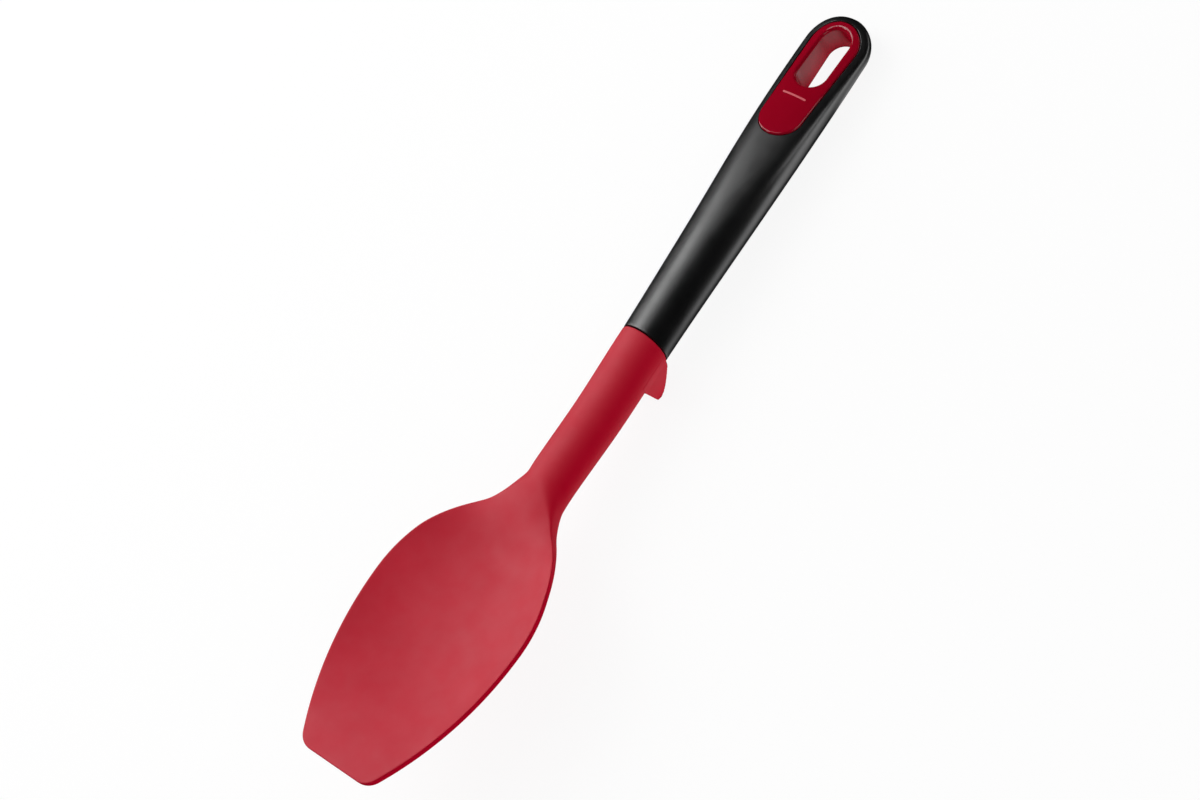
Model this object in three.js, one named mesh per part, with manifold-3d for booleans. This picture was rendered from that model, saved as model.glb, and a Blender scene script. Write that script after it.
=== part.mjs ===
// A cooking spoon: a red silicone head moulded over a stiff core, whose tang is pushed into a black
// two-layer handle with a weight inside and a glossy red hanging insert.
// Millimetres, +Z up, bowl open upwards, handle along +Y.
import * as THREE from 'three';
import { mergeVertices } from 'three/addons/utils/BufferGeometryUtils.js';
import Module from 'manifold-3d';

const wasm = await Module();
wasm.setup();

// Driving dimensions, in millimetres and degrees
const CLEARANCE = 0.3; // gap between neighbouring pieces

// Shaft of the head, which starts at the joint with the handle
const COLLAR_RADIUS = 8.9;
const NECK_RADIUS = 8.52;
const SHAFT_SAG = 0.85; // how far its middle hangs below the line between its ends
const JOINT_TILT = 9.2; // lean of the joint's plane, top towards the handle

// Bowl seen from above, distances from the joint
const HEAD_LENGTH = 169.8;
const BOWL_WIDTH = 63.1;
const WIDEST_AT = 108.7;
const SIDE_RADIUS = 119; // from the widest place to the tip
const SHOULDER_RADIUS = 50; // from the widest place to the neck
const NECK_FILLET = 23; // hollow curve from the shoulder into the shaft
const TIP_CORNER_RADIUS = 7;

// Bowl seen from the side, heights from the shaft's axis
const RIM_HEIGHT = 10.2; // at the widest place
const RIM_SLOPE = 3.9; // rise towards the tip
const RIM_THICKNESS = 3;
const FLOOR_THICKNESS = 4;
const DISH_DEPTH = 8.2;
const DEEPEST_AT = 115;
const NECK_BLEND = 36; // length over which the shaft's section turns into the bowl's
const EDGE_BLEND = 23; // length over which the shaft's sides thin out to the rim
const RIM_SQUARENESS = 10; // superellipse exponent of the bowl's section, 2 is round
const TIP_ROUNDING = 1.5;

// Stop lug under the collar, which hooks over a pot's rim
const LUG_WIDTH = 13;
const LUG_DROP = 7.5;
const LUG_LENGTH = 13;
const LUG_LEAN = 11.5; // stop face, from square to the shaft
const LUG_BACK_ANGLE = 56; // slope of the back where it leaves the joint
const LUG_TIP_LENGTH = 1.6;
const LUG_STEP = 0.8; // height of its back above the collar's side, at the joint

// Core of the head
const ROD_RADIUS = 5;
const SKIN_OVER_BLADE = 0.7; // on each face, where the bowl is thinnest
const BLADE_INSET = 7;
const BLADE_SQUARENESS = 6;
const TANG_LEAD = 10; // plain length before the barbs
const BARB_HEIGHT = 0.7;
const BARB_PITCH = 9;
const BARB_COUNT = 4;

// Handle, distances from the joint along its own axis
const HANDLE_BEND = 1.8; // rise of its axis above the shaft's axis
const HANDLE_LENGTH = 130.3;
const HANDLE_WIDTH = 24.4;
const HANDLE_SWELL = 1.25; // how late it widens, 1 is a plain sine curve
const SLEEVE_WALL = 2.4;
const SOCKET_WALL = 1; // of the handle's core round the tang
const WEIGHT_RADIUS = 4.2;
const WEIGHT_LENGTH = 26;
const SKIN_UNDER_INSERT = 1.6; // sleeve thickness on the facet
const FACET_HEIGHT = 2.7; // above the handle's axis, at the centre of its round end
const FACET_SLOPE = 6.1; // fall towards the end

// Hanging insert, distances along the facet
const INSERT_END_RADIUS = 9.2;
const INSERT_FRONT_RADIUS = 8.1;
const INSERT_SPAN = 29.9; // between the centres of its two ends
const INSERT_THICKNESS = 2.8;
const INSERT_PROUD = 0.2;
const SLOT_WIDTH = 11.4;
const SLOT_SPAN = 12.6; // between the centres of its two ends
const SLOT_SHIFT = 0.7; // from the insert's end centre towards the handle's end
const EYELET_WALL = 1.5;
const MARK_LENGTH = 9;
const MARK_WIDTH = 0.7;
const MARK_DEPTH = 0.4;
const MARK_AT = 22.3; // from the insert's end centre towards the joint

// Facets of the curved faces
const RING_SIDES = 36;
const CORE_SIDES = 20;
const ARC_STEPS = 6;
const SHAFT_STATIONS = 6;
const NECK_STATIONS = 11;
const BOWL_STATIONS = 9;
const TIP_STATIONS = 3;
const HANDLE_STATIONS = 9;
const NOSE_STATIONS = 6;
const BLUNTING = 0.05; // share of a rounding left flat, so that no ring shrinks to a point
const CUTTER = 400; // size of the cutting blocks, more than anything they cut

const rad = THREE.MathUtils.degToRad;
const { lerp, clamp, smoothstep } = THREE.MathUtils;

// Bowl outline from above: shaft, hollow neck fillet, shoulder arc, side arc and tip corner, all tangent
const shoulderCentre = BOWL_WIDTH / 2 - SHOULDER_RADIUS;
const sideCentre = BOWL_WIDTH / 2 - SIDE_RADIUS;
const filletCentre = NECK_RADIUS + NECK_FILLET;
const neckRun = Math.sqrt((SHOULDER_RADIUS + NECK_FILLET) ** 2 - (filletCentre - shoulderCentre) ** 2);
const neckStart = WIDEST_AT - neckRun;
const filletEnd = neckStart + neckRun * NECK_FILLET / (SHOULDER_RADIUS + NECK_FILLET);
const cornerRun = HEAD_LENGTH - TIP_CORNER_RADIUS - WIDEST_AT;
const cornerReach = SIDE_RADIUS - TIP_CORNER_RADIUS;
const cornerCentre = sideCentre + Math.sqrt(cornerReach ** 2 - cornerRun ** 2);
const cornerStart = WIDEST_AT + cornerRun * SIDE_RADIUS / cornerReach;

function arcHeight(radius, run) {
  return Math.sqrt(Math.max(radius ** 2 - run ** 2, 0));
}

function headHalfWidth(distance) {
  if (distance <= neckStart) {
    return lerp(COLLAR_RADIUS, NECK_RADIUS, clamp(distance / neckStart, 0, 1));
  }
  if (distance <= filletEnd) {
    return filletCentre - arcHeight(NECK_FILLET, distance - neckStart);
  }
  if (distance <= WIDEST_AT) {
    return shoulderCentre + arcHeight(SHOULDER_RADIUS, distance - WIDEST_AT);
  }
  if (distance <= cornerStart) {
    return sideCentre + arcHeight(SIDE_RADIUS, distance - WIDEST_AT);
  }
  return cornerCentre + arcHeight(TIP_CORNER_RADIUS, distance - WIDEST_AT - cornerRun);
}

// Share of the bowl's shape at a distance from the joint: 0 on the shaft, 1 in the bowl
function bowlShare(distance) {
  return smoothstep(distance, neckStart, neckStart + NECK_BLEND);
}

function edgeShare(distance) {
  return smoothstep(distance, neckStart, neckStart + EDGE_BLEND);
}

// The dish keeps its depth up to its deepest place and runs out flat at the tip
function dishShare(distance) {
  const toTip = clamp((distance - DEEPEST_AT) / (HEAD_LENGTH - DEEPEST_AT), 0, 1);
  return Math.cos(toTip * Math.PI / 2) ** 2;
}

function shaftSag(distance) {
  const along = clamp(distance / neckStart, 0, 1);
  return SHAFT_SAG * Math.sin(along * Math.PI) ** 2;
}

// Height of the middle of the head's wall
function headMiddle(x, distance) {
  const rimLine = RIM_HEIGHT + (distance - WIDEST_AT) * Math.tan(rad(RIM_SLOPE));
  const across = x / headHalfWidth(distance);
  const dish = DISH_DEPTH * dishShare(distance) * (1 - across ** 2);
  return bowlShare(distance) * (rimLine - RIM_THICKNESS / 2 - dish) - shaftSag(distance);
}

function shaftRadius(distance) {
  return headHalfWidth(Math.min(distance, neckStart));
}

// Half of the head's wall thickness, less its rounding at the rim
function headHalfThickness(x, distance) {
  const across = x / headHalfWidth(distance);
  const floor = lerp(RIM_THICKNESS, FLOOR_THICKNESS, dishShare(distance)) / 2;
  const centre = lerp(shaftRadius(distance), floor, bowlShare(distance));
  const edge = lerp(shaftRadius(distance), RIM_THICKNESS / 2, edgeShare(distance));
  const fromTip = clamp((HEAD_LENGTH - distance) / TIP_ROUNDING, BLUNTING, 1);
  return lerp(edge, centre, 1 - across ** 2) * arcHeight(1, 1 - fromTip);
}

// One closed ring across the spoon: a band round a middle line, with superellipse ends
function bandRing({ y, halfWidth, squareness, middle, halfThickness, sides }) {
  const ring = [];
  for (let k = 0; k < sides; k += 1) {
    const turn = 2 * Math.PI * k / sides;
    const across = Math.cos(turn);
    const x = halfWidth * across;
    const round = Math.max(1 - Math.abs(across) ** squareness, 0) ** (1 / squareness);
    const side = k === 0 || 2 * k === sides ? 0 : Math.sign(Math.sin(turn));
    ring.push(new THREE.Vector3(x, y, middle(x) + side * round * halfThickness(x)));
  }
  return ring;
}

// Joins rings into one closed body and ladders each end from its upper to its lower points
function loft(rings) {
  const sides = rings[0].length;
  const faces = [];
  rings.slice(1).forEach((ring, index) => {
    for (let k = 0; k < sides; k += 1) {
      const a = index * sides + k;
      const b = index * sides + (k + 1) % sides;
      faces.push([a, b, b + sides], [a, b + sides, a + sides]);
    }
  });
  const last = (rings.length - 1) * sides;
  for (let k = 0; k < sides / 2; k += 1) {
    const quad = [k, k + 1, sides - k - 1, (sides - k) % sides];
    const ladder = [[quad[0], quad[2], quad[1]], [quad[0], quad[3], quad[2]]];
    ladder.filter((face) => new Set(face).size === 3).forEach((face) => {
      faces.push(face);
      faces.push(face.map((corner) => corner + last).reverse());
    });
  }
  const geometry = new THREE.BufferGeometry().setFromPoints(rings.flat());
  geometry.setIndex(faces.flat());
  return solid(geometry);
}

// Turns a closed geometry into a solid with its faces pointing out
function solid(geometry) {
  const bare = geometry.clone();
  bare.deleteAttribute('normal');
  bare.deleteAttribute('uv');
  const merged = mergeVertices(bare);
  const corners = Array.from(merged.index.array);
  if (signedVolume(merged.attributes.position, corners) < 0) {
    corners.reverse();
  }
  return new wasm.Manifold(new wasm.Mesh({
    numProp: 3,
    vertProperties: new Float32Array(merged.attributes.position.array),
    triVerts: new Uint32Array(corners),
  }));
}

function signedVolume(position, corners) {
  const [a, b, c] = [new THREE.Vector3(), new THREE.Vector3(), new THREE.Vector3()];
  let volume = 0;
  for (let k = 0; k < corners.length; k += 3) {
    a.fromBufferAttribute(position, corners[k]);
    b.fromBufferAttribute(position, corners[k + 1]);
    c.fromBufferAttribute(position, corners[k + 2]);
    volume += a.dot(b.cross(c)) / 6;
  }
  return volume;
}

function mesh(name, body, material) {
  const { vertProperties, triVerts } = body.getMesh();
  const geometry = new THREE.BufferGeometry();
  geometry.setAttribute('position', new THREE.BufferAttribute(vertProperties, 3));
  geometry.setIndex(new THREE.BufferAttribute(triVerts, 1));
  geometry.computeVertexNormals();
  const result = new THREE.Mesh(geometry, material);
  result.name = name;
  return result;
}

function range(from, to, steps) {
  return Array.from({ length: steps + 1 }, (_, k) => lerp(from, to, k / steps));
}

// A block on one side of the leaning joint plane: side +1 towards the handle, -1 towards the head
function jointBlock(side, lean) {
  const block = new THREE.BoxGeometry(CUTTER, CUTTER, CUTTER);
  block.translate(0, side * (CUTTER - CLEARANCE) / 2, 0);
  return solid(block.rotateX(-rad(lean)));
}

// The silicone moulding
function headOutside() {
  const stations = [
    -2 * COLLAR_RADIUS,
    ...range(0, neckStart, SHAFT_STATIONS),
    ...range(neckStart, neckStart + NECK_BLEND, NECK_STATIONS).slice(1),
    ...range(neckStart + NECK_BLEND, cornerStart, BOWL_STATIONS).slice(1),
    ...range(cornerStart, HEAD_LENGTH - TIP_ROUNDING, TIP_STATIONS).slice(1),
    ...range(HEAD_LENGTH - TIP_ROUNDING, HEAD_LENGTH, TIP_STATIONS).slice(1),
  ];
  return loft(stations.map((distance) => bandRing({
    y: -distance,
    halfWidth: headHalfWidth(distance),
    squareness: lerp(2, RIM_SQUARENESS, edgeShare(distance) ** 2),
    middle: (x) => headMiddle(x, distance),
    halfThickness: (x) => headHalfThickness(x, distance),
    sides: RING_SIDES,
  })));
}

// Side view of the stop lug: back curve, rounded tip, leaning stop face, root inside the shaft
function lugBody() {
  const tip = -COLLAR_RADIUS - LUG_DROP;
  const side = -arcHeight(COLLAR_RADIUS, LUG_WIDTH / 2);
  const back = side - LUG_STEP;
  const lean = Math.tan(rad(LUG_LEAN));
  const stopAtTip = -LUG_LENGTH + LUG_DROP * lean;
  const backReach = (tip - back) / Math.tan(rad(LUG_BACK_ANGLE));
  const profile = new THREE.Shape();
  profile.moveTo(0, -ROD_RADIUS);
  profile.lineTo(0, back);
  profile.quadraticCurveTo(backReach, tip, stopAtTip + LUG_TIP_LENGTH, tip);
  profile.quadraticCurveTo(stopAtTip, tip, stopAtTip - lean * LUG_TIP_LENGTH, tip + LUG_TIP_LENGTH);
  profile.lineTo(-LUG_LENGTH - lean * (COLLAR_RADIUS + side), side);
  profile.lineTo(-LUG_LENGTH, -ROD_RADIUS);
  const options = { depth: LUG_WIDTH, bevelEnabled: false, curveSegments: ARC_STEPS };
  const slab = new THREE.ExtrudeGeometry(profile, options);
  slab.translate(0, 0, -LUG_WIDTH / 2);
  // Shape axes (along, height, depth) become (y, z, x)
  const axes = new THREE.Matrix4().set(0, 0, 1, 0, 1, 0, 0, 0, 0, 1, 0, 0, 0, 0, 0, 1);
  return solid(slab.applyMatrix4(axes));
}

// The core: blade, rod and barbed tang, or with a margin the hollow that takes it
const bladeThickness = RIM_THICKNESS - 2 * SKIN_OVER_BLADE;
const tangLength = TANG_LEAD + BARB_COUNT * BARB_PITCH;
const socketRadius = COLLAR_RADIUS - SLEEVE_WALL - CLEARANCE - SOCKET_WALL;
const tangRadius = socketRadius - CLEARANCE - BARB_HEIGHT;
function coreBody(margin) {
  const stations = [
    ...range(HEAD_LENGTH - BLADE_INSET + margin, neckStart + EDGE_BLEND, BOWL_STATIONS),
    ...range(neckStart + EDGE_BLEND, neckStart, SHAFT_STATIONS).slice(1),
  ];
  const rings = stations.map((distance) => bandRing({
    y: -distance,
    halfWidth: lerp(ROD_RADIUS, headHalfWidth(distance) - BLADE_INSET, edgeShare(distance)) + margin,
    squareness: lerp(2, BLADE_SQUARENESS, edgeShare(distance) ** 2),
    middle: (x) => headMiddle(x, distance),
    halfThickness: () => lerp(ROD_RADIUS, bladeThickness / 2, bowlShare(distance)) + margin,
    sides: CORE_SIDES,
  }));
  const sideways = new THREE.Vector3(1, 0, 0);
  tangSteps(margin).forEach(([y, radius]) => {
    const lean = y > 0 ? rad(HANDLE_BEND) : 0;
    rings.push(rodRing(y, radius + margin).map((point) => point.applyAxisAngle(sideways, lean)));
  });
  return loft(rings);
}

function rodRing(y, radius) {
  return bandRing({
    y,
    halfWidth: radius,
    squareness: 2,
    middle: () => 0,
    halfThickness: () => radius,
    sides: CORE_SIDES,
  });
}

function rodBody(from, to, radius) {
  return loft([rodRing(from, radius), rodRing(to, radius)]);
}

// Places and radii along the rod and tang; each barb rises slowly towards the joint and drops back
function tangSteps(margin) {
  const steps = [
    [-COLLAR_RADIUS, ROD_RADIUS],
    [-COLLAR_RADIUS / 2, tangRadius],
    [TANG_LEAD - BARB_HEIGHT, tangRadius],
  ];
  if (margin > 0) {
    return steps;
  }
  for (let barb = 0; barb < BARB_COUNT; barb += 1) {
    const start = TANG_LEAD + barb * BARB_PITCH;
    steps.push([start, tangRadius + BARB_HEIGHT], [start + BARB_PITCH - BARB_HEIGHT, tangRadius]);
  }
  steps.push([tangLength, tangRadius - BARB_HEIGHT]);
  return steps;
}

// Handle body, drawn in by an inset for the layers inside it
const endCentre = HANDLE_LENGTH - HANDLE_WIDTH / 2;
function handleBody(inset, sides) {
  const stations = [-2 * COLLAR_RADIUS, ...range(0, endCentre, HANDLE_STATIONS)].map((y) => ({ y, size: 1 }));
  range(0, (1 - BLUNTING) * Math.PI / 2, NOSE_STATIONS).slice(1).forEach((turn) => {
    const reach = HANDLE_WIDTH / 2 - inset;
    stations.push({ y: endCentre + reach * Math.sin(turn), size: Math.cos(turn) });
  });
  return loft(stations.map(({ y, size }) => {
    const along = clamp(y / endCentre, 0, 1) ** HANDLE_SWELL;
    const halfWidth = lerp(COLLAR_RADIUS, HANDLE_WIDTH / 2, Math.sin(along * Math.PI / 2));
    return bandRing({
      y,
      halfWidth: size * (halfWidth - inset),
      squareness: 2,
      middle: () => 0,
      halfThickness: () => size * (COLLAR_RADIUS - inset),
      sides,
    });
  }));
}

// Moves a geometry drawn on the facet, y along it and z out of it, to its place on the handle
function onFacet(geometry) {
  geometry.rotateX(-rad(FACET_SLOPE));
  return solid(geometry.translate(0, endCentre, FACET_HEIGHT));
}

// Everything above the facet, lowered by a depth
function aboveFacet(depth) {
  const block = new THREE.BoxGeometry(CUTTER, CUTTER, CUTTER);
  return onFacet(block.translate(0, 0, CUTTER / 2 - depth));
}

// A long outline with round ends, seen from above the facet, standing between two heights
function pill({ endRadius, frontRadius, span, shift, margin, low, high }) {
  const lean = Math.asin((endRadius - frontRadius) / span);
  const outline = new THREE.Shape();
  outline.absarc(0, shift, endRadius + margin, -lean, Math.PI + lean, false);
  outline.absarc(0, shift - span, frontRadius + margin, Math.PI + lean, 2 * Math.PI - lean, false);
  const options = { depth: high - low, bevelEnabled: false, curveSegments: 2 * ARC_STEPS };
  return onFacet(new THREE.ExtrudeGeometry(outline, options).translate(0, 0, low));
}

function insertPlate(margin, high) {
  return pill({
    endRadius: INSERT_END_RADIUS,
    frontRadius: INSERT_FRONT_RADIUS,
    span: INSERT_SPAN,
    shift: 0,
    margin,
    low: INSERT_PROUD - INSERT_THICKNESS - margin,
    high,
  });
}

function slotColumn(margin, high) {
  return pill({
    endRadius: SLOT_WIDTH / 2,
    frontRadius: SLOT_WIDTH / 2,
    span: SLOT_SPAN,
    shift: SLOT_SHIFT,
    margin,
    low: -CUTTER,
    high,
  });
}

function markGroove() {
  const bar = new THREE.BoxGeometry(MARK_LENGTH, MARK_WIDTH, 2 * MARK_DEPTH);
  return onFacet(bar.translate(0, -MARK_AT, INSERT_PROUD));
}

const silicone = new THREE.MeshStandardMaterial({ color: 0xb01f33, roughness: 0.6, metalness: 0 });
const nylon = new THREE.MeshStandardMaterial({ color: 0x3a3a3c, roughness: 0.55, metalness: 0 });
const hardPlastic = new THREE.MeshStandardMaterial({ color: 0x161617, roughness: 0.5, metalness: 0 });
const steel = new THREE.MeshStandardMaterial({ color: 0x9a9a98, roughness: 0.35, metalness: 1 });
const satinBlack = new THREE.MeshStandardMaterial({ color: 0x0c0c0d, roughness: 0.42, metalness: 0 });
const glossRed = new THREE.MeshStandardMaterial({ color: 0x8e0a1e, roughness: 0.12, metalness: 0 });

function buildHead() {
  const group = new THREE.Group();
  const skin = headOutside()
    .add(lugBody())
    .subtract(jointBlock(1, JOINT_TILT))
    .subtract(coreBody(CLEARANCE));
  group.add(mesh('silicone_head', skin, silicone));
  group.add(mesh('head_core', coreBody(0), nylon));
  return group;
}

function buildHandle() {
  const group = new THREE.Group();
  const headSide = jointBlock(-1, JOINT_TILT + HANDLE_BEND);
  const outside = handleBody(0, RING_SIDES).subtract(headSide);
  const eyeletHole = slotColumn(EYELET_WALL + CLEARANCE, 0);
  const pocket = insertPlate(CLEARANCE, CUTTER);
  const hollow = handleBody(SLEEVE_WALL, CORE_SIDES).subtract(aboveFacet(SKIN_UNDER_INSERT));
  const sleeve = outside.subtract(aboveFacet(0)).subtract(hollow).subtract(pocket).subtract(eyeletHole);
  group.add(mesh('grip_sleeve', sleeve, satinBlack));

  const weightStart = tangLength + 2 * CLEARANCE;
  const weightEnd = weightStart + WEIGHT_LENGTH;
  const bore = rodBody(-2 * COLLAR_RADIUS, tangLength + CLEARANCE, socketRadius)
    .add(rodBody(0, weightEnd + CLEARANCE, WEIGHT_RADIUS + CLEARANCE));
  const core = handleBody(SLEEVE_WALL + CLEARANCE, CORE_SIDES)
    .subtract(aboveFacet(SKIN_UNDER_INSERT + CLEARANCE))
    .subtract(headSide)
    .subtract(bore)
    .subtract(pocket)
    .subtract(eyeletHole);
  group.add(mesh('handle_core', core, hardPlastic));
  group.add(mesh('handle_weight', rodBody(weightStart, weightEnd, WEIGHT_RADIUS), steel));

  const insert = insertPlate(0, INSERT_PROUD)
    .add(slotColumn(EYELET_WALL, 0).intersect(outside))
    .subtract(slotColumn(0, CUTTER))
    .subtract(markGroove());
  group.add(mesh('hang_inlay', insert, glossRed));
  group.rotation.x = rad(HANDLE_BEND);
  return group;
}

// Lean of the lower hull's edge under the joint: the lug and the handle's end both touch the table
function restLean(spoon) {
  const points = [];
  spoon.updateMatrixWorld(true);
  spoon.traverse((node) => {
    const position = node.isMesh ? node.geometry.attributes.position : { count: 0 };
    for (let k = 0; k < position.count; k += 1) {
      const corner = new THREE.Vector3().fromBufferAttribute(position, k).applyMatrix4(node.matrixWorld);
      points.push(new THREE.Vector2(corner.y, corner.z));
    }
  });
  points.sort((a, b) => a.x - b.x);
  const hull = [];
  points.forEach((point) => {
    while (hull.length > 1 && turnsDown(hull.at(-2), hull.at(-1), point)) {
      hull.pop();
    }
    hull.push(point);
  });
  const after = hull.findIndex((point) => point.x > 0);
  return hull[after].clone().sub(hull[after - 1]).angle();
}

function turnsDown(a, b, c) {
  return b.clone().sub(a).cross(c.clone().sub(a)) <= 0;
}

// The spoon lies on the table, its box centred over the origin
function buildSpoon() {
  const spoon = new THREE.Group();
  spoon.add(buildHead(), buildHandle());
  spoon.rotation.x = -restLean(spoon);
  spoon.updateMatrixWorld(true);
  const box = new THREE.Box3().setFromObject(spoon, true);
  const centre = box.getCenter(new THREE.Vector3());
  spoon.position.set(-centre.x, -centre.y, -box.min.z);
  return spoon;
}

export default buildSpoon();
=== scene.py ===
"""Looks for the silicone spoon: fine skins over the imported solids, materials, studio and camera."""
import math

import bpy
import numpy as np
from mathutils import Euler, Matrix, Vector


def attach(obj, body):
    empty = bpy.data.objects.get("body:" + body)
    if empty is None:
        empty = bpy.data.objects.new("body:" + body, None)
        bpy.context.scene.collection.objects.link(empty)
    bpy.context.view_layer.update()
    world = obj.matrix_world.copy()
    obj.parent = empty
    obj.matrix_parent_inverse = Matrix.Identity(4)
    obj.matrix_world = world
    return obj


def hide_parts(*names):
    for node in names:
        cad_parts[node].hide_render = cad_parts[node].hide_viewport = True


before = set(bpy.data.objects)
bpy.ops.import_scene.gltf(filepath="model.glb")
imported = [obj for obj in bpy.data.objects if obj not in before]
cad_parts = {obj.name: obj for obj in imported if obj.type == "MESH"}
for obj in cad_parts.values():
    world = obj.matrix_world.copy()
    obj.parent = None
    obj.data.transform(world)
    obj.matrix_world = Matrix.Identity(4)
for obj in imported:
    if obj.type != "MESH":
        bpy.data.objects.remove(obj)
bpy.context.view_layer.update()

MM = 0.001

# Sizes shared with the solids, in millimetres and degrees
CLEARANCE = 0.3
COLLAR_RADIUS = 8.9
NECK_RADIUS = 8.52
SHAFT_SAG = 0.85
JOINT_TILT = 9.2
HEAD_LENGTH = 169.8
BOWL_WIDTH = 63.1
WIDEST_AT = 108.7
SIDE_RADIUS = 119
SHOULDER_RADIUS = 50
NECK_FILLET = 23
TIP_CORNER_RADIUS = 7
RIM_HEIGHT = 10.2
RIM_SLOPE = 3.9
RIM_THICKNESS = 3
FLOOR_THICKNESS = 4
DISH_DEPTH = 8.2
DEEPEST_AT = 115
NECK_BLEND = 36
EDGE_BLEND = 23
LUG_DROP = 7.5
LUG_LENGTH = 13
LUG_LEAN = 11.5
LUG_TIP_LENGTH = 1.6
ROD_RADIUS = 5
BLADE_INSET = 7
BLADE_THICKNESS = 1.6
TANG_RADIUS = 4.2
HANDLE_BEND = 1.8
HANDLE_LENGTH = 130.3
HANDLE_WIDTH = 24.4
HANDLE_SWELL = 1.25
SLEEVE_WALL = 2.4
SKIN_UNDER_INSERT = 1.6
FACET_HEIGHT = 2.7
FACET_SLOPE = 6.1
INSERT_END_RADIUS = 9.2
INSERT_FRONT_RADIUS = 8.1
INSERT_SPAN = 29.9
INSERT_THICKNESS = 2.8
INSERT_PROUD = 0.2
SLOT_WIDTH = 11.4
SLOT_SPAN = 12.6
SLOT_SHIFT = 0.7
EYELET_WALL = 1.5
MARK_AT = 22.3
MARK_DEPTH = 0.4

# Finer forms that the solids leave out, in millimetres; the neck's spans start at NECK_START
RIM_ROUNDING = 1.5
RIM_SQUARENESS = 5
NECK_TOP = (0, 13)
NECK_TOP_EDGE = (-4, 20)
NECK_KEEL = (6, 22)
JOINT_ROUNDING = 0.6
LUG_ROUNDING = 0.8
LUG_START = 4.1
LUG_REACH = 6.8
LUG_ROOT = 8.6
LUG_DRAFT = 0.112
LUG_SQUARENESS = 100
HANDLE_SQUARENESS = 2.8
FACET_ROUNDING = 4
FACET_CURVE = 32
FACET_CROWN = 1.2
INSERT_ROUNDING = 0.55
SLOT_ROUNDING = 1.3
LIP_ROUNDING = 0.35
MARK_LENGTH = 9.6
MARK_WIDTH = 0.66
MARK_CHAMFER = 0.03
MARK_FIT = 0.02
INNER_ROUNDING = 0.1
HANDLE_JOINT_ROUNDING = 0.25
INNER_JOINT_ROUNDING = 0.01
JOINT_FADE = 9  # length over which the joint's lean fades out
SQUARE_FROM = 40  # where the handle's upper side starts to get squarer
BLADE_SQUARENESS = 6
EYELET_EDGE = ((0, 0.5), (0.12, 0.2), (0.4, 0.06), (EYELET_WALL, 0.06))  # margins and lifts

# How the spoon lies: lean about X and place of the joint's centre
REST_LEAN = -0.0919657
REST_PLACE = (0, 18.939, 15.424)

# Light, where 1 is white
FLOOR_COLOUR = 0.85
SHADOW_SHARE = 0.1
TABLE_LEVEL = 1.1
CARD_LEVEL = 0.45
ROOM_LEVEL = 0.47
KEY_LEVEL = 3.7
KEY_DISTANCE = 1.2  # metres
# The floor's patch under the slot glows though it is no lamp: SLOT_SHEEN is its painted reflection,
# SLOT_LIGHT its painted glow
SLOT_PLACE = (0.008, 0.131, 0)  # the floor's patch under the slot, in metres
SLOT_SHEEN = 0.65
SLOT_LIGHT = 1.6

# Materials: drift of the roughness, and the grain's depth in metres
GLOSS_DRIFT = 0.04
GRAIN_DEPTH = 0.00004

SECTION_POINTS = 240
OUTLINE_POINTS = 176
SIDE_POINTS = 24  # on each straight side of an outline
CAP_SHARE = 0.16  # share of a section's points on each rounded edge
NOSE_TURN = 0.985 * math.pi / 2  # the last ring stays just short of a point


def lerp(a, b, share):
    return a + (b - a) * share


def smoothstep(value, start, end):
    share = np.clip((value - start) / (end - start), 0, 1)
    return share * share * (3 - 2 * share)


def arc(radius, run):
    return np.sqrt(np.maximum(radius ** 2 - run ** 2, 0))


def blunt(share, squareness):
    """Height of a rounded edge: a quarter circle at squareness 2, and squarer above it."""
    return np.maximum(1 - share ** squareness, 0) ** (1 / squareness)


def smooth_max(a, b, reach):
    overlap = np.maximum(reach - np.abs(a - b), 0) / reach
    return np.maximum(a, b) + overlap ** 2 * reach / 4


def turn_x(points, angle):
    """Turns points about the X axis."""
    c, s = math.cos(angle), math.sin(angle)
    x, y, z = np.moveaxis(points, -1, 0)
    return np.stack([x, c * y - s * z, s * y + c * z], -1)


def spoon_to_world(points):
    return (turn_x(points, REST_LEAN) + np.array(REST_PLACE)) * MM


def handle_to_world(points):
    return spoon_to_world(turn_x(points, math.radians(HANDLE_BEND)))


def facet_crown(x):
    return FACET_CROWN - x ** 2 / (2 * FACET_CURVE)


def facet_to_handle(points):
    points = np.array(points, float)
    share = np.clip(1 + points[..., 2] / (INSERT_THICKNESS - INSERT_PROUD), 0, 1)
    points[..., 2] += share * facet_crown(points[..., 0])
    return turn_x(points, -math.radians(FACET_SLOPE)) + np.array([0, END_CENTRE, FACET_HEIGHT])


def facet_to_world(points):
    return handle_to_world(facet_to_handle(points))


# Meshes
def loft(name, rings, closed=False):
    """A mesh object from a list of rings with equal counts, with ladder caps or closed end to end."""
    rings = np.asarray(rings, float)
    count, sides = rings.shape[:2]
    faces = []
    spans = count if closed else count - 1
    for r in range(spans):
        a, b = r * sides, (r + 1) % count * sides
        faces += [(a + k, a + (k + 1) % sides, b + (k + 1) % sides, b + k) for k in range(sides)]
    if not closed:
        last = (count - 1) * sides
        for k in range(sides // 2):
            quad = list(dict.fromkeys((k, (sides - k) % sides, sides - k - 1, k + 1)))
            if len(quad) > 2:
                faces.append(tuple(quad))
                faces.append(tuple(last + q for q in reversed(quad)))
    mesh = bpy.data.meshes.new(name)
    mesh.from_pydata(rings.reshape(-1, 3).tolist(), [], faces)
    mesh.validate()
    if signed_volume(mesh) < 0:
        mesh.flip_normals()
    piece = bpy.data.objects.new(name, mesh)
    bpy.context.scene.collection.objects.link(piece)
    return piece


def signed_volume(mesh):
    mesh.calc_loop_triangles()
    places = np.array([v.co for v in mesh.vertices])
    corners = np.array([t.vertices for t in mesh.loop_triangles])
    a, b, c = (places[corners[:, k]] for k in range(3))
    return np.einsum("ij,ij->i", a, np.cross(b, c)).sum() / 6


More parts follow.
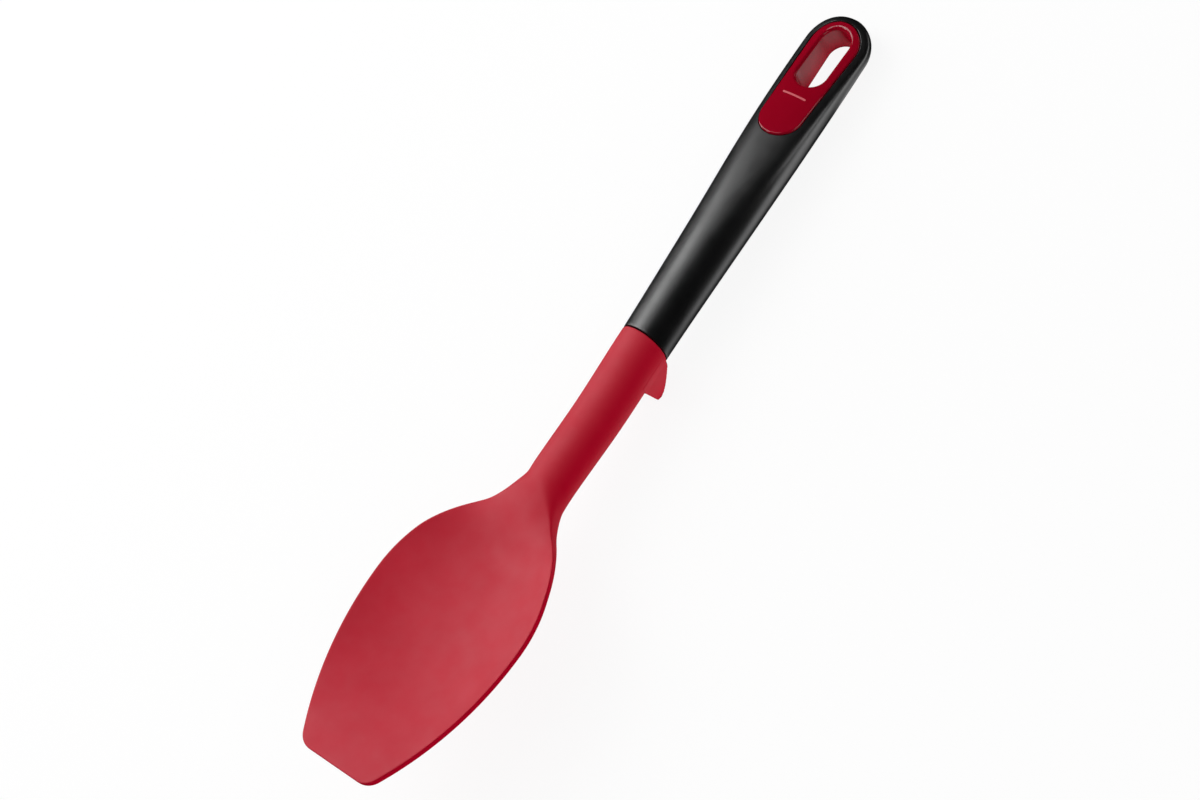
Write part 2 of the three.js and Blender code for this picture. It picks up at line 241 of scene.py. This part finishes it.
def cut(piece, cutter):
    """Cuts one mesh out of another and deletes the cutter."""
    boolean = piece.modifiers.new("cut", "BOOLEAN")
    boolean.operation = "DIFFERENCE"
    boolean.solver = "EXACT"
    boolean.object = cutter
    bpy.context.view_layer.update()
    graph = bpy.context.evaluated_depsgraph_get()
    mesh = bpy.data.meshes.new_from_object(piece.evaluated_get(graph))
    piece.modifiers.clear()
    piece.data = mesh
    bpy.data.objects.remove(cutter)


def smooth(piece, angle):
    piece.data.shade_smooth()
    piece.data.set_sharp_from_angle(angle=math.radians(angle))


def finish_piece(piece, node, material):
    piece.data.materials.clear()
    piece.data.materials.append(material)
    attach(piece, "root")
    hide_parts(node)


# Head: outline from above, then heights, as the solids have them
SHOULDER_CENTRE = BOWL_WIDTH / 2 - SHOULDER_RADIUS
SIDE_CENTRE = BOWL_WIDTH / 2 - SIDE_RADIUS
FILLET_CENTRE = NECK_RADIUS + NECK_FILLET
NECK_RUN = math.sqrt((SHOULDER_RADIUS + NECK_FILLET) ** 2 - (FILLET_CENTRE - SHOULDER_CENTRE) ** 2)
NECK_START = WIDEST_AT - NECK_RUN
FILLET_END = NECK_START + NECK_RUN * NECK_FILLET / (SHOULDER_RADIUS + NECK_FILLET)
CORNER_RUN = HEAD_LENGTH - TIP_CORNER_RADIUS - WIDEST_AT
CORNER_REACH = SIDE_RADIUS - TIP_CORNER_RADIUS
CORNER_CENTRE = SIDE_CENTRE + math.sqrt(CORNER_REACH ** 2 - CORNER_RUN ** 2)
CORNER_START = WIDEST_AT + CORNER_RUN * SIDE_RADIUS / CORNER_REACH


def head_half_width(d):
    shaft = lerp(COLLAR_RADIUS, NECK_RADIUS, np.clip(d / NECK_START, 0, 1))
    places = [d <= NECK_START, d <= FILLET_END, d <= WIDEST_AT, d <= CORNER_START]
    widths = [
        shaft,
        FILLET_CENTRE - arc(NECK_FILLET, d - NECK_START),
        SHOULDER_CENTRE + arc(SHOULDER_RADIUS, d - WIDEST_AT),
        SIDE_CENTRE + arc(SIDE_RADIUS, d - WIDEST_AT),
    ]
    corner = CORNER_CENTRE + arc(TIP_CORNER_RADIUS, d - WIDEST_AT - CORNER_RUN)
    return np.select(places, widths, corner)


def bowl_share(d):
    return smoothstep(d, NECK_START, NECK_START + NECK_BLEND)


def dish_share(d):
    return np.cos(np.clip((d - DEEPEST_AT) / (HEAD_LENGTH - DEEPEST_AT), 0, 1) * math.pi / 2) ** 2


def shaft_sag(d):
    return SHAFT_SAG * np.sin(np.clip(d / NECK_START, 0, 1) * math.pi) ** 2


def head_middle(x, d):
    rim_line = RIM_HEIGHT + (d - WIDEST_AT) * math.tan(math.radians(RIM_SLOPE))
    dish = DISH_DEPTH * dish_share(d) * (1 - (x / head_half_width(d)) ** 2)
    return bowl_share(d) * (rim_line - RIM_THICKNESS / 2 - dish) - shaft_sag(d)


def neck_share(d, span):
    return smoothstep(d, NECK_START + span[0], NECK_START + span[1])


def head_half_thickness(x, d, span):
    shaft = head_half_width(np.minimum(d, NECK_START))
    floor = lerp(RIM_THICKNESS, FLOOR_THICKNESS, dish_share(d)) / 2
    centre = lerp(shaft, floor, bowl_share(d))
    edge = lerp(shaft, RIM_THICKNESS / 2, neck_share(d, span))
    return lerp(edge, centre, 1 - (x / head_half_width(d)) ** 2)


def band_x(half_width, rounding, flatness, turn):
    """Places across a section: round on the shaft, a flat band with close points at the rim in the bowl."""
    share = 1 - np.abs(1 - turn / math.pi)
    cap = CAP_SHARE
    flat = half_width - rounding
    first = flat + rounding * np.cos(np.clip(share / cap, 0, 1) * math.pi / 2)
    last = -flat - rounding * np.cos(np.clip((1 - share) / cap, 0, 1) * math.pi / 2)
    middle = flat * (1 - 2 * (share - cap) / (1 - 2 * cap))
    band = np.where(share < cap, first, np.where(share > 1 - cap, last, middle))
    return lerp(half_width * np.cos(turn), band, flatness)


def lug_profile():
    """Side view of the lug: distances from the joint and heights of its lower edge."""
    tip = -COLLAR_RADIUS - LUG_DROP
    lean = math.tan(math.radians(LUG_LEAN))
    stop = LUG_LENGTH - LUG_DROP * lean
    t = np.linspace(0, 1, 40)[:, None]
    curve = lambda a, b, c: (1 - t) ** 2 * a + 2 * t * (1 - t) * b + t ** 2 * c
    points = [np.array(p, float) for p in (
        (0, -LUG_START), (LUG_REACH, tip), (stop - LUG_TIP_LENGTH, tip), (stop, tip),
        (stop + lean * LUG_TIP_LENGTH, tip + LUG_TIP_LENGTH), (LUG_LENGTH + lean * LUG_START, -LUG_START),
    )]
    top = np.array([[points[5][0] + 0.01, 0]])
    return np.concatenate([curve(*points[:3]), curve(*points[2:5])[1:], points[5][None], top])


def head_rings():
    turn = np.arange(SECTION_POINTS)[None] * 2 * math.pi / SECTION_POINTS
    side = np.where(np.isclose(turn, 0) | np.isclose(turn, math.pi), 0, np.sign(np.sin(turn)))
    corner_turn = np.linspace(0.25, 1, 24)[1:] * math.pi / 2
    tip_turn = np.linspace(0, NOSE_TURN, 12)
    tip_start = HEAD_LENGTH - RIM_ROUNDING
    corner = WIDEST_AT + CORNER_RUN + TIP_CORNER_RADIUS * np.sin(corner_turn)
    stations = np.concatenate([
        np.linspace(0, JOINT_ROUNDING, 6),
        np.linspace(JOINT_ROUNDING, LUG_LENGTH - 2, 24)[1:],
        np.linspace(LUG_LENGTH - 2, LUG_LENGTH + 1, 26)[1:],
        np.linspace(LUG_LENGTH + 1, NECK_START - 8, 24)[1:],
        np.linspace(NECK_START - 8, NECK_START, 12)[1:],
        np.linspace(NECK_START, NECK_START + NECK_BLEND, 44)[1:],
        np.linspace(NECK_START + NECK_BLEND, corner[0] - 0.6, 52)[1:],
        corner[corner < tip_start],
        tip_start + RIM_ROUNDING * np.sin(tip_turn),
    ])
    d = stations[:, None]
    width = head_half_width(d)
    flatness = np.where(side > 0, neck_share(d, NECK_TOP), neck_share(d, NECK_KEEL))
    rounding = lerp(width, RIM_ROUNDING, flatness)
    squareness = lerp(2, RIM_SQUARENESS, flatness)
    x = band_x(width, rounding, flatness, turn)
    past = np.clip((np.abs(x) - (width - rounding)) / rounding, 0, 1)
    tip = blunt(np.clip((d - tip_start) / RIM_ROUNDING, 0, 1), RIM_SQUARENESS)
    above, below = (head_half_thickness(x, d, span) for span in (NECK_TOP_EDGE, (0, EDGE_BLEND)))
    thickness = np.where(side > 0, above, below)
    z = head_middle(x, d) + side * blunt(past, squareness) * tip * thickness

    # Near the joint the section is round and grows the lug below it
    axis = -shaft_sag(d)
    angle = np.arctan2(x, -(z - axis))
    shaft = np.hypot(x, z - axis)
    profile = lug_profile()
    tilt = math.tan(math.radians(JOINT_TILT))
    fade = 1 - smoothstep(d, 0, JOINT_FADE)
    rounded = JOINT_ROUNDING * (1 - arc(1, np.clip(1 - d / JOINT_ROUNDING, 0, 1)))
    near = d < NECK_START
    down = np.maximum(np.cos(angle), 1e-6)
    y = np.broadcast_to(-d, x.shape)
    for _ in range(12):
        depth = -np.interp(-y, profile[:, 0], profile[:, 1], left=profile[0, 1], right=0) + axis
        depth = np.maximum(depth, 0.1)
        flank = (np.abs(np.sin(angle)) + LUG_DRAFT * down) / LUG_ROOT
        lug = (flank ** LUG_SQUARENESS + (down / depth) ** LUG_SQUARENESS) ** (-1 / LUG_SQUARENESS)
        lug = np.where(np.cos(angle) > 0.05, lug, 0)
        radius = smooth_max(shaft, lug, LUG_ROUNDING) - rounded
        low = np.where(near, axis - radius * np.cos(angle), z)
        y = -d + fade * (tilt * low - CLEARANCE / 2)
    x = np.where(near, radius * np.sin(angle), x)
    outside = np.stack([x, y, low], -1)[::-1]

    # The hollow that takes the core
    steps = [(0, TANG_RADIUS), (COLLAR_RADIUS / 2, TANG_RADIUS), (COLLAR_RADIUS, ROD_RADIUS)]
    inside = []
    for place, radius in steps:
        radius = radius + CLEARANCE
        rod_x, rod_z = radius * np.cos(turn[0]), radius * np.sin(turn[0])
        start = tilt * rod_z - CLEARANCE / 2 if place == 0 else 0
        inside.append(np.stack([rod_x, -place + start + 0 * rod_x, rod_z], -1))
    for place in np.linspace(NECK_START, HEAD_LENGTH - BLADE_INSET + CLEARANCE, 40):
        share = neck_share(place, (0, EDGE_BLEND))
        half = lerp(ROD_RADIUS, head_half_width(place) - BLADE_INSET, share) + CLEARANCE
        blade_x = half * np.cos(turn[0])
        squareness = lerp(2, BLADE_SQUARENESS, share ** 2)
        end = np.maximum(1 - np.abs(np.cos(turn[0])) ** squareness, 0) ** (1 / squareness)
        thick = lerp(ROD_RADIUS, BLADE_THICKNESS / 2, bowl_share(place)) + CLEARANCE
        blade_z = head_middle(blade_x, place) + side[0] * end * thick
        inside.append(np.stack([blade_x, -place + 0 * blade_x, blade_z], -1))
    return np.concatenate([outside, np.array(inside)])


# Handle
END_CENTRE = HANDLE_LENGTH - HANDLE_WIDTH / 2


def handle_half_width(y):
    along = np.clip(y / END_CENTRE, 0, 1) ** HANDLE_SWELL
    return lerp(COLLAR_RADIUS, HANDLE_WIDTH / 2, np.sin(along * math.pi / 2))


def facet_level(y):
    return FACET_HEIGHT - (y - END_CENTRE) * math.tan(math.radians(FACET_SLOPE))


def handle_rings(inset, facet_drop, rounding, joint_rounding):
    turn = np.arange(SECTION_POINTS)[None] * 2 * math.pi / SECTION_POINTS
    nose = np.linspace(0, NOSE_TURN, 44)[1:]
    tilt = math.tan(math.radians(JOINT_TILT + HANDLE_BEND))
    straight = np.concatenate([
        np.linspace(0, joint_rounding, 5),
        np.linspace(joint_rounding, END_CENTRE, 130)[1:],
    ])
    y = np.concatenate([straight, END_CENTRE + (HANDLE_WIDTH / 2 - inset) * np.sin(nose)])[:, None]
    size = np.concatenate([np.ones(len(straight)), np.cos(nose)])[:, None]
    round_off = joint_rounding * (1 - arc(1, np.clip(1 - y / joint_rounding, 0, 1)))
    upper = lerp(2, HANDLE_SQUARENESS, smoothstep(y, SQUARE_FROM, END_CENTRE))
    squareness = np.where(np.sin(turn) > 0, upper, 2)
    across, above = (np.sign(f) * np.abs(f) ** (2 / squareness) for f in (np.cos(turn), np.sin(turn)))
    x = (size * (handle_half_width(y) - inset) - round_off) * across
    z = (size * (COLLAR_RADIUS - inset) - round_off) * above
    reach = FACET_ROUNDING if rounding else INNER_ROUNDING
    rise = facet_crown(x) if rounding else -facet_drop
    z = -smooth_max(-z, -facet_level(y) - rise, reach)
    start = (1 - smoothstep(y, 0, JOINT_FADE)) * (tilt * z + CLEARANCE / 2)
    return np.stack([x, y + start, z], -1)


def pill(end_radius, front_radius, span, shift, margin):
    """A long outline with round ends, seen from above the facet."""
    lean = math.asin((end_radius - front_radius) / span)
    ends = OUTLINE_POINTS // 2 - SIDE_POINTS
    end = np.linspace(-lean, math.pi + lean, ends + 1)
    front = np.linspace(math.pi + lean, 2 * math.pi - lean, ends + 1)
    big, small = end_radius + margin, front_radius + margin
    a = np.stack([big * np.cos(end), shift + big * np.sin(end)], -1)
    b = np.stack([small * np.cos(front), shift - span + small * np.sin(front)], -1)
    side = np.linspace(0, 1, SIDE_POINTS)[1:-1, None]
    return np.concatenate([a, lerp(a[-1], b[0], side), b, lerp(b[-1], a[0], side)])


def insert_outline(margin):
    return pill(INSERT_END_RADIUS, INSERT_FRONT_RADIUS, INSERT_SPAN, 0, margin)


def slot_outline(margin):
    return pill(SLOT_WIDTH / 2, SLOT_WIDTH / 2, SLOT_SPAN, SLOT_SHIFT, margin)


def at_height(outline, height):
    return np.concatenate([outline, np.broadcast_to(np.reshape(height, (-1, 1)), (len(outline), 1))], 1)


def underside(outline, lift):
    """Depths below the facet at which an outline's column leaves the handle."""
    depth = np.full(len(outline), -COLLAR_RADIUS - FACET_HEIGHT)
    slope = math.radians(FACET_SLOPE)
    for _ in range(20):
        place = facet_to_handle(at_height(outline, depth))
        past = np.clip((place[:, 1] - END_CENTRE) / (HANDLE_WIDTH / 2), 0, 1)
        size = arc(1, past)
        across = np.clip(np.abs(place[:, 0]) / (size * handle_half_width(place[:, 1])), 0, 1)
        bottom = -size * COLLAR_RADIUS * arc(1, across) + lift
        depth = depth + (bottom - place[:, 2]) / math.cos(slope)
    return depth


def quarter(steps):
    return np.linspace(0, math.pi / 2, steps)


def inlay_rings():
    low = INSERT_PROUD - INSERT_THICKNESS
    rings = [at_height(insert_outline(0), low)]
    for turn in quarter(16):
        margin = -INSERT_ROUNDING * (1 - math.cos(turn))
        rings.append(at_height(insert_outline(margin), INSERT_PROUD - INSERT_ROUNDING * (1 - math.sin(turn))))
    inner, outer = slot_outline(SLOT_ROUNDING), insert_outline(-INSERT_ROUNDING)
    for share in np.linspace(0, 1, 30)[1:-1]:
        rings.append(at_height(lerp(outer, inner, share), INSERT_PROUD))
    for turn in quarter(18)[::-1]:
        margin = SLOT_ROUNDING * (1 - math.cos(turn))
        rings.append(at_height(slot_outline(margin), INSERT_PROUD - SLOT_ROUNDING * (1 - math.sin(turn))))
    for margin, lift in EYELET_EDGE:
        rings.append(at_height(slot_outline(margin), underside(slot_outline(margin), lift)))
    rings.append(at_height(slot_outline(EYELET_WALL), low))
    return np.array(rings)


def pocket_rings():
    low = INSERT_PROUD - INSERT_THICKNESS - CLEARANCE
    rings = [at_height(insert_outline(CLEARANCE), low)]
    for turn in np.linspace(0, 0.42 * math.pi, 7):
        margin = CLEARANCE + LIP_ROUNDING * (1 - math.cos(turn))
        rings.append(at_height(insert_outline(margin), -LIP_ROUNDING * (1 - math.sin(turn))))
    rings.append(at_height(insert_outline(CLEARANCE + LIP_ROUNDING), HANDLE_WIDTH))
    return np.array(rings)


def mark_rings(margin, top):
    """A round-ended bar across the insert, from below its face up to a height above it."""
    rings = []
    half = MARK_WIDTH / 2 + margin
    low = -MARK_DEPTH - margin
    edge = top - MARK_CHAMFER
    section = np.array([(-1, low), (1, low), (1, edge), (0.85, top), (-0.85, top), (-1, edge)])
    flat = (MARK_LENGTH - MARK_WIDTH) / 2
    ends = np.linspace(0.1, 0.97, 8) * math.pi / 2
    stations = [(-flat, -turn) for turn in ends[::-1]]
    stations += [(x, 0) for x in np.linspace(-flat, flat, 17)]
    stations += [(flat, turn) for turn in ends]
    for middle, turn in stations:
        x = np.full(len(section), middle + half * math.sin(turn))
        y = half * math.cos(turn) * section[:, 0] - MARK_AT
        rings.append(np.stack([x, y, INSERT_PROUD + section[:, 1]], -1))
    return np.array(rings)


# Materials
def material(name, colour, roughness):
    made = bpy.data.materials.new(name)
    made.use_nodes = True
    shader = made.node_tree.nodes["Principled BSDF"]
    shader.inputs["Base Color"].default_value = (*colour, 1)
    shader.inputs["Roughness"].default_value = roughness
    return made, shader


def add(made, kind, **settings):
    node = made.node_tree.nodes.new(kind)
    for key, value in settings.items():
        setattr(node, key, value)
    return node


def noise(made, scale, detail):
    """Noise in the piece's own metres."""
    place = add(made, "ShaderNodeTexCoord")
    texture = add(made, "ShaderNodeTexNoise")
    texture.inputs["Scale"].default_value = scale
    texture.inputs["Detail"].default_value = detail
    made.node_tree.links.new(place.outputs["Object"], texture.inputs["Vector"])
    return texture.outputs["Fac"]


def ramp(made, source, low, high):
    """Colours between two ends, by a noise value."""
    node = add(made, "ShaderNodeValToRGB")
    node.color_ramp.elements[0].position = 0.3
    node.color_ramp.elements[1].position = 0.7
    node.color_ramp.elements[0].color = (*low, 1)
    node.color_ramp.elements[1].color = (*high, 1)
    made.node_tree.links.new(source, node.inputs["Fac"])
    return node.outputs["Color"]


def vary(made, shader, socket, scale, low, high, detail=3):
    """Lets a shader's value drift between two ends."""
    spread = add(made, "ShaderNodeMapRange")
    spread.inputs["From Min"].default_value = 0.3
    spread.inputs["From Max"].default_value = 0.7
    spread.inputs["To Min"].default_value = low
    spread.inputs["To Max"].default_value = high
    made.node_tree.links.new(noise(made, scale, detail), spread.inputs["Value"])
    made.node_tree.links.new(spread.outputs["Result"], shader.inputs[socket])


def bump(made, shader, scale, strength, depth, detail=2):
    node = add(made, "ShaderNodeBump")
    node.inputs["Strength"].default_value = strength
    node.inputs["Distance"].default_value = depth
    made.node_tree.links.new(noise(made, scale, detail), node.inputs["Height"])
    made.node_tree.links.new(node.outputs["Normal"], shader.inputs["Normal"])


def moulded(name, low, high, roughness, grain, strength, specular=0.5):
    middle = [(a + b) / 2 for a, b in zip(low, high)]
    made, shader = material(name, middle, roughness)
    shader.inputs["Specular IOR Level"].default_value = specular
    made.node_tree.links.new(ramp(made, noise(made, 90, 4), low, high), shader.inputs["Base Color"])
    vary(made, shader, "Roughness", 160, roughness - GLOSS_DRIFT, roughness + GLOSS_DRIFT)
    bump(made, shader, grain, strength, GRAIN_DEPTH)
    return made


silicone = moulded("silicone", (0.44, 0.001, 0.017), (0.46, 0.002, 0.019), 0.72, 2600, 0.12, 0.95)
grip_black = moulded("grip_black", (0.003, 0.003, 0.0032), (0.0045, 0.0045, 0.0047), 0.36, 3400, 0.25, 1)
inlay_red = moulded("inlay_red", (0.245, 0.001, 0.010), (0.255, 0.0015, 0.012), 0.1, 900, 0.02)
# The line across the insert is a real line in its face; the bar's paler red is a painted highlight along it
mark_painted_highlight = moulded("mark_painted_highlight", (0.57, 0.108, 0.128), (0.59, 0.116, 0.136), 0.4, 900, 0.05)
core_nylon = moulded("core_nylon", (0.038, 0.038, 0.041), (0.048, 0.048, 0.051), 0.55, 1800, 0.2)
core_plastic = moulded("core_plastic", (0.007, 0.007, 0.008), (0.010, 0.010, 0.011), 0.5, 1800, 0.2)
weight_steel = moulded("weight_steel", (0.52, 0.52, 0.51), (0.60, 0.60, 0.59), 0.34, 1500, 0.1)
weight_steel.node_tree.nodes["Principled BSDF"].inputs["Metallic"].default_value = 1
grip_black.node_tree.nodes["Principled BSDF"].inputs["IOR"].default_value = 1.555

# Pieces
head = loft("head_skin", spoon_to_world(head_rings()))
smooth(head, 40)
finish_piece(head, "silicone_head", silicone)

outer = handle_rings(0, 0, True, HANDLE_JOINT_ROUNDING)[::-1]
inner = handle_rings(SLEEVE_WALL, SKIN_UNDER_INSERT, False, INNER_JOINT_ROUNDING)
grip = loft("grip_skin", handle_to_world(np.concatenate([outer, inner])))
cut(grip, loft("pocket", facet_to_world(pocket_rings())))
eyelet = slot_outline(EYELET_WALL + CLEARANCE)
cut(grip, loft("eyelet", facet_to_world([at_height(eyelet, -2 * HANDLE_WIDTH), at_height(eyelet, 0)])))
smooth(grip, 30)
finish_piece(grip, "grip_sleeve", grip_black)

inlay = loft("inlay_plate", facet_to_world(inlay_rings()), closed=True)
cut(inlay, loft("groove", facet_to_world(mark_rings(MARK_FIT, INSERT_ROUNDING))))
smooth(inlay, 10)
finish_piece(inlay, "hang_inlay", inlay_red)

# A raised bar in the insert's groove, coloured with the painted highlight of the line
mark = loft("mark_line", facet_to_world(mark_rings(0, MARK_CHAMFER)))
smooth(mark, 30)
mark.data.materials.append(mark_painted_highlight)
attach(mark, "root")

for core, made in (
    ("head_core", core_nylon),
    ("handle_core", core_plastic),
    ("handle_weight", weight_steel),
):
    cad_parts[core].data.materials.clear()
    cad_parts[core].data.materials.append(made)

# Camera
camera = bpy.data.cameras.new("camera")
camera.sensor_width = 36
camera.lens = 82.5
camera.clip_end = 20
eye = bpy.data.objects.new("camera", camera)
eye.location = (0.479451, -0.065963, 0.777465)
eye.rotation_euler = Euler([math.radians(a) for a in (21.1541, 25.3739, 34.8284)])
bpy.context.scene.collection.objects.link(eye)
bpy.context.scene.camera = eye

# Studio
floor_mesh = bpy.data.meshes.new("floor")
floor_mesh.from_pydata([(-4, -4, 0), (4, -4, 0), (4, 4, 0), (-4, 4, 0)], [], [(0, 1, 2, 3)])
floor = bpy.data.objects.new("floor", floor_mesh)
floor.location.z = -0.0005
floor.visible_shadow = False
bpy.context.scene.collection.objects.link(floor)
pale = bpy.data.materials.new("pale_floor")
pale.use_nodes = True
pale.cycles.emission_sampling = "NONE"
nodes, links = pale.node_tree.nodes, pale.node_tree.links
nodes.clear()


def node(kind, values=(), **settings):
    made = nodes.new(kind)
    for key, value in settings.items():
        setattr(made, key, value)
    for key, value in dict(values).items():
        made.inputs[key].default_value = value
    return made


# White to the camera, with a faint shadow. To other rays the floor glows though it is no lamp: a painted
# reflection in a strip beside the handle and in a patch under the slot, whose painted glow also lights the
# slot's walls
path = node("ShaderNodeLightPath")
place = node("ShaderNodeTexCoord")
split = node("ShaderNodeSeparateXYZ")
far_edge = node("ShaderNodeMath", {1: -0.35}, operation="MULTIPLY_ADD")
near_edge = node("ShaderNodeMath", {1: -0.05}, operation="MULTIPLY_ADD")
far = node("ShaderNodeMapRange", {"From Min": 0.013, "From Max": 0.030, "To Min": 1, "To Max": 0})
near = node("ShaderNodeMapRange", {"From Min": 0.0112, "From Max": 0.0182})
along = node("ShaderNodeMapRange", {"From Min": 0, "From Max": 0.1, "To Min": 0.6, "To Max": 1.5})
across = node("ShaderNodeMath", operation="MULTIPLY")
strip = node("ShaderNodeMath", operation="MULTIPLY")
under_slot = node("ShaderNodeVectorMath", {1: SLOT_PLACE}, operation="DISTANCE")
patch = node("ShaderNodeMapRange", {"From Min": 0.0085, "From Max": 0.0145, "To Min": 1, "To Max": 0})
ray = node("ShaderNodeMath", {1: SLOT_SHEEN}, operation="MULTIPLY")
rays = node("ShaderNodeMath", {1: SLOT_LIGHT}, operation="MULTIPLY_ADD")
slot_light = node("ShaderNodeMath", operation="MULTIPLY")
bright = node("ShaderNodeMath", operation="MAXIMUM")
sheen = node("ShaderNodeMath", operation="MULTIPLY")
direct = node("ShaderNodeMath", operation="MAXIMUM")
glow = node("ShaderNodeMix", {3: 1 - SHADOW_SHARE})
colour = node("ShaderNodeMath", {1: FLOOR_COLOUR * SHADOW_SHARE}, operation="MULTIPLY")
matt = node("ShaderNodeBsdfDiffuse")
white = node("ShaderNodeEmission")
total = node("ShaderNodeAddShader")
out = node("ShaderNodeOutputMaterial")
for source, socket in (
    (place.outputs["Object"], split.inputs[0]),
    (split.outputs["Y"], far_edge.inputs[0]),
    (split.outputs["X"], far_edge.inputs[2]),
    (far_edge.outputs[0], far.inputs["Value"]),
    (split.outputs["Y"], near_edge.inputs[0]),
    (split.outputs["X"], near_edge.inputs[2]),
    (near_edge.outputs[0], near.inputs["Value"]),
    (split.outputs["Y"], along.inputs["Value"]),
    (far.outputs[0], across.inputs[0]),
    (near.outputs[0], across.inputs[1]),
    (across.outputs[0], strip.inputs[0]),
    (along.outputs[0], strip.inputs[1]),
    (place.outputs["Object"], under_slot.inputs[0]),
    (under_slot.outputs["Value"], patch.inputs["Value"]),
    (strip.outputs[0], sheen.inputs[0]),
    (path.outputs["Is Glossy Ray"], sheen.inputs[1]),
    (path.outputs["Is Glossy Ray"], ray.inputs[0]),
    (path.outputs["Is Diffuse Ray"], rays.inputs[0]),
    (ray.outputs[0], rays.inputs[2]),
    (patch.outputs[0], slot_light.inputs[0]),
    (rays.outputs[0], slot_light.inputs[1]),
    (sheen.outputs[0], bright.inputs[0]),
    (slot_light.outputs[0], bright.inputs[1]),
    (path.outputs["Is Camera Ray"], direct.inputs[0]),
    (path.outputs["Is Transmission Ray"], direct.inputs[1]),
    (direct.outputs[0], glow.inputs[0]),
    (bright.outputs[0], glow.inputs[2]),
    (direct.outputs[0], colour.inputs[0]),
    (glow.outputs[0], white.inputs["Strength"]),
    (colour.outputs[0], matt.inputs["Color"]),
    (matt.outputs[0], total.inputs[0]),
    (white.outputs[0], total.inputs[1]),
    (total.outputs[0], out.inputs["Surface"]),
):
    links.new(source, socket)
floor_mesh.materials.append(pale)

# The room is white to the camera and dark in a sheen; panels light it
world = bpy.data.worlds.new("studio")
world.use_nodes = True
nodes, links = world.node_tree.nodes, world.node_tree.links
path = node("ShaderNodeLightPath")
direct = node("ShaderNodeMath", operation="MAXIMUM")
links.new(path.outputs["Is Camera Ray"], direct.inputs[0])
links.new(path.outputs["Is Transmission Ray"], direct.inputs[1])
links.new(direct.outputs[0], nodes["Background"].inputs["Strength"])
nodes["Background"].inputs["Color"].default_value = (1, 1, 1, 1)
bpy.context.scene.world = world


def around(azimuth, elevation, distance):
    a, e = math.radians(azimuth), math.radians(elevation)
    return distance * Vector((math.cos(e) * math.cos(a), math.cos(e) * math.sin(a), math.sin(e)))


def panel(name, place, aim, size, level, sheen=True):
    """A flat light with a radiance, and with or without a sheen of its own."""
    light = bpy.data.lights.new(name, "AREA")
    light.shape = "RECTANGLE"
    light.size, light.size_y = size
    light.energy = level * math.pi * size[0] * size[1]
    lamp = bpy.data.objects.new(name, light)
    lamp.location = place
    lamp.rotation_euler = Vector(aim).to_track_quat("-Z", "Y").to_euler()
    lamp.visible_camera = False
    lamp.visible_glossy = sheen
    light.cycles.use_multiple_importance_sampling = sheen
    bpy.context.scene.collection.objects.link(lamp)
    return lamp


for name, azimuth, elevation, size in (
    ("key_high", 160, 62, (0.26, 1.4)),
    ("key_low", 186.5, 36, (0.53, 1.39)),
):
    place = around(azimuth, elevation, KEY_DISTANCE)
    panel(name, place, -place, size, KEY_LEVEL)
place = around(226, 30, KEY_DISTANCE)
panel("glint", place, -place, (0.12, 0.6), 2 * KEY_LEVEL).visible_diffuse = False
panel("side_card", (0.05, 0.115, 0.022), (-1, 0, 0), (0.035, 0.016), 1.6).visible_diffuse = False
panel("card", (0.016, -0.045, 0), (0, 0, 1), (0.016, 0.13), CARD_LEVEL)
panel("table", (0, 0, -0.25), (0, 0, 1), (3, 3), TABLE_LEVEL, False)
panel("fill_top", (0, 0, 1.5), (0, 0, -1), (3, 3), ROOM_LEVEL, False)
for side, level in enumerate((1.5, 1, 1, 1)):
    place = around(90 * side, 25, 1.6)
    panel("fill_%d" % side, place, -place, (3, 1.5), level * ROOM_LEVEL, False)

bpy.context.scene.view_settings.view_transform = "Standard"
